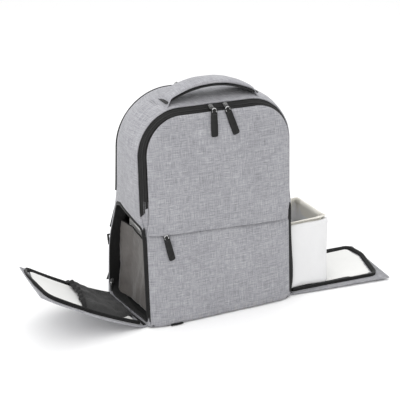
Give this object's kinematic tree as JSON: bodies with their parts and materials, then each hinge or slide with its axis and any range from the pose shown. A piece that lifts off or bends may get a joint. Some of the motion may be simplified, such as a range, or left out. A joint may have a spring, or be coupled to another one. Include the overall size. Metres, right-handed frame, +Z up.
{
  "type": "diaper bag",
  "caption": "Heather grey diaper backpack standing open: zipped front panel, pocket, top handle, shoulder straps, two fold-down side doors and a padded slide-out insert.",
  "frame": {"origin": "on the floor under the middle of the base panel", "axes": "+X across the width from the left door to the right door, +Y from the front panel to the back panel, +Z up"},
  "size_m": [0.7772, 0.2316, 0.4487],
  "materials": {
    "heather": "heather linen-look woven polyester, matt",
    "charcoal_webbing": "charcoal zip tape, binding and webbing",
    "back_padding": "padded air mesh, charcoal",
    "white_lining": "smooth padded lining, white",
    "taupe_lining": "thin nylon lining, taupe grey",
    "cream_lining": "gathered soft lining, cream",
    "mesh": "open knit mesh, dark grey",
    "steel": "dark plated metal, satin"
  },
  "bodies": {
    "root": {"main_shell": "heather", "base_panel": "charcoal_webbing", "base_webbing_tab": "charcoal_webbing", "back_panel": "back_padding", "rear_zip": "charcoal_webbing", "front_divider": "white_lining", "front_pocket_panel": "heather", "rain_flap": "heather", "front_gusset": "charcoal_webbing", "left_opening_zip": "charcoal_webbing", "right_opening_zip": "charcoal_webbing", "left_hinge_strip": "heather", "right_hinge_strip": "heather", "left_liner": "taupe_lining", "compartment_roof": "white_lining", "handle_pad": "heather", "handle_lining": "mesh", "strap_anchor_left": "charcoal_webbing", "strap_anchor_right": "charcoal_webbing"},
    "front_panel": {"upper_front_panel": "heather", "front_zip_tape": "charcoal_webbing"},
    "left_door": {"left_door_panel": "heather", "left_door_zip": "charcoal_webbing", "left_door_lining": "white_lining", "left_mesh_pocket": "mesh", "left_pocket_elastic": "charcoal_webbing"},
    "right_door": {"right_door_panel": "heather", "right_door_zip": "charcoal_webbing", "right_door_lining": "white_lining"},
    "insert": {"insert_shell": "white_lining", "insert_lip": "cream_lining"},
    "left_strap": {"strap_pad_left": "back_padding", "strap_adjuster_left": "steel", "strap_webbing_left": "charcoal_webbing"},
    "right_strap": {"strap_pad_right": "back_padding", "strap_adjuster_right": "steel", "strap_webbing_right": "charcoal_webbing"},
    "front_left_slider": {"front_left_slider": "steel"},
    "front_left_tab": {"front_left_tab": "charcoal_webbing"},
    "front_right_slider": {"front_right_slider": "steel"},
    "front_right_tab": {"front_right_tab": "charcoal_webbing"},
    "pocket_slider": {"pocket_slider": "steel"},
    "pocket_tab": {"pocket_tab": "charcoal_webbing"},
    "rear_left_slider": {"rear_left_slider": "steel"},
    "rear_left_tab": {"rear_left_tab": "charcoal_webbing"},
    "rear_right_slider": {"rear_right_slider": "steel"},
    "rear_right_tab": {"rear_right_tab": "charcoal_webbing"},
    "left_side_slider": {"left_side_slider": "steel"},
    "left_side_tab": {"left_side_tab": "charcoal_webbing"},
    "right_side_slider": {"right_side_slider": "steel"},
    "right_side_tab": {"right_side_tab": "charcoal_webbing"}
  },
  "joints": [
    {"name": "front_panel_fold", "type": "hinge", "parent": "root", "child": "front_panel", "pos_m": [0, -0.06952, 0.213], "axis": [1, 0, 0], "range_deg": [0, 80]},
    {"name": "left_door_hinge", "type": "hinge", "parent": "root", "child": "left_door", "pos_m": [-0.164, 0, 0.0035], "axis": [0, 1, 0], "range_deg": [0, 58]},
    {"name": "right_door_hinge", "type": "hinge", "parent": "root", "child": "right_door", "pos_m": [0.164, 0, 0.0035], "axis": [0, -1, 0], "range_deg": [0, 83]},
    {"name": "insert_slide", "type": "slide", "parent": "root", "child": "insert", "axis": [1, 0, 0], "range_m": [-0.1977, 0]},
    {"name": "right_strap_swing", "type": "hinge", "parent": "root", "child": "right_strap", "pos_m": [0.045, 0.096, 0.378], "axis": [0.2733, 0.0669, -0.9596], "range_deg": [0, 15]},
    {"name": "left_strap_swing", "type": "hinge", "parent": "root", "child": "left_strap", "pos_m": [-0.045, 0.096, 0.378], "axis": [0.2733, -0.0669, 0.9596], "range_deg": [0, 15]},
    {"name": "front_left_slide", "type": "slide", "parent": "front_panel", "child": "front_left_slider", "axis": [1, 0, 0], "range_m": [-0.05, 0]},
    {"name": "front_left_tab_swing", "type": "hinge", "parent": "front_left_slider", "child": "front_left_tab", "pos_m": [-0.013, -0.06174, 0.3985], "axis": [-1, 0, 0], "range_deg": [0, 100]},
    {"name": "front_right_slide", "type": "slide", "parent": "front_panel", "child": "front_right_slider", "axis": [1, 0, 0], "range_m": [0, 0.045]},
    {"name": "front_right_tab_swing", "type": "hinge", "parent": "front_right_slider", "child": "front_right_tab", "pos_m": [0.018, -0.06174, 0.3985], "axis": [-1, 0, 0], "range_deg": [0, 100]},
    {"name": "pocket_slide", "type": "slide", "parent": "root", "child": "pocket_slider", "axis": [1, 0, 0], "range_m": [0, 0.2]},
    {"name": "pocket_tab_swing", "type": "hinge", "parent": "pocket_slider", "child": "pocket_tab", "pos_m": [-0.1165, -0.07657, 0.171], "axis": [-1, 0, 0], "range_deg": [0, 80]},
    {"name": "rear_left_slide", "type": "slide", "parent": "root", "child": "rear_left_slider", "axis": [1, 0, 0], "range_m": [-0.035, 0]},
    {"name": "rear_left_tab_swing", "type": "hinge", "parent": "rear_left_slider", "child": "rear_left_tab", "pos_m": [-0.02, 0.08798, 0.408], "axis": [1, 0, 0], "range_deg": [0, 90]},
    {"name": "rear_right_slide", "type": "slide", "parent": "root", "child": "rear_right_slider", "axis": [1, 0, 0], "range_m": [0, 0.04]},
    {"name": "rear_right_tab_swing", "type": "hinge", "parent": "rear_right_slider", "child": "rear_right_tab", "pos_m": [0.006, 0.08798, 0.408], "axis": [1, 0, 0], "range_deg": [0, 90]},
    {"name": "left_side_slide", "type": "slide", "parent": "root", "child": "left_side_slider", "axis": [0, -0.0756, 0.9971], "range_m": [0, 0.06]},
    {"name": "left_side_tab_swing", "type": "hinge", "parent": "left_side_slider", "child": "left_side_tab", "pos_m": [-0.1585, 0.0858, 0.03], "axis": [0, -1, 0], "range_deg": [-60, 0]},
    {"name": "right_side_slide", "type": "slide", "parent": "root", "child": "right_side_slider", "axis": [0, -0.0756, 0.9971], "range_m": [0, 0.06]},
    {"name": "right_side_tab_swing", "type": "hinge", "parent": "right_side_slider", "child": "right_side_tab", "pos_m": [0.1585, 0.0858, 0.03], "axis": [0, 1, 0], "range_deg": [-60, 0]}
  ],
  "couplings": [
    {"joint": "insert_slide", "follows": "right_door_hinge", "m_per_rad": -0.1365}
  ]
}
